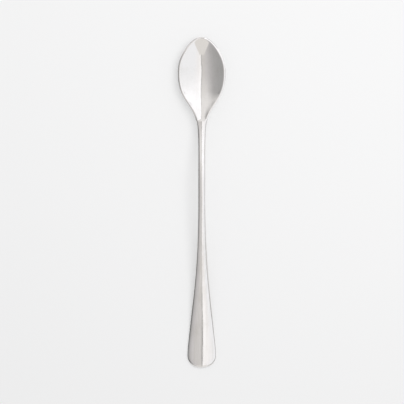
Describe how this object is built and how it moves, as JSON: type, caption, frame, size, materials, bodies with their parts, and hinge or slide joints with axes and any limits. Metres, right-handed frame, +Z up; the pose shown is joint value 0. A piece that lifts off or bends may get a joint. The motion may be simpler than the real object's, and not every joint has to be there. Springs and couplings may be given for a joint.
{
  "type": "iced tea spoon",
  "caption": "Long thin steel spoon for tall glasses, with a small pointed oval bowl, a slim arched stem and a broad handle with a softly rounded top.",
  "frame": {"origin": "on the table under the middle of the spoon's length, on its plane of symmetry", "axes": "+Y from the butt of the handle to the tip of the bowl, +Z up out of the hollow, +X to the right seen from above with the bowl away"},
  "size_m": [0.0288, 0.2, 0.0145],
  "materials": {
    "polished_steel": "mirror-polished stainless steel with very fine wiping marks"
  },
  "bodies": {
    "root": {"bowl": "polished_steel", "handle": "polished_steel"}
  },
  "joints": []
}
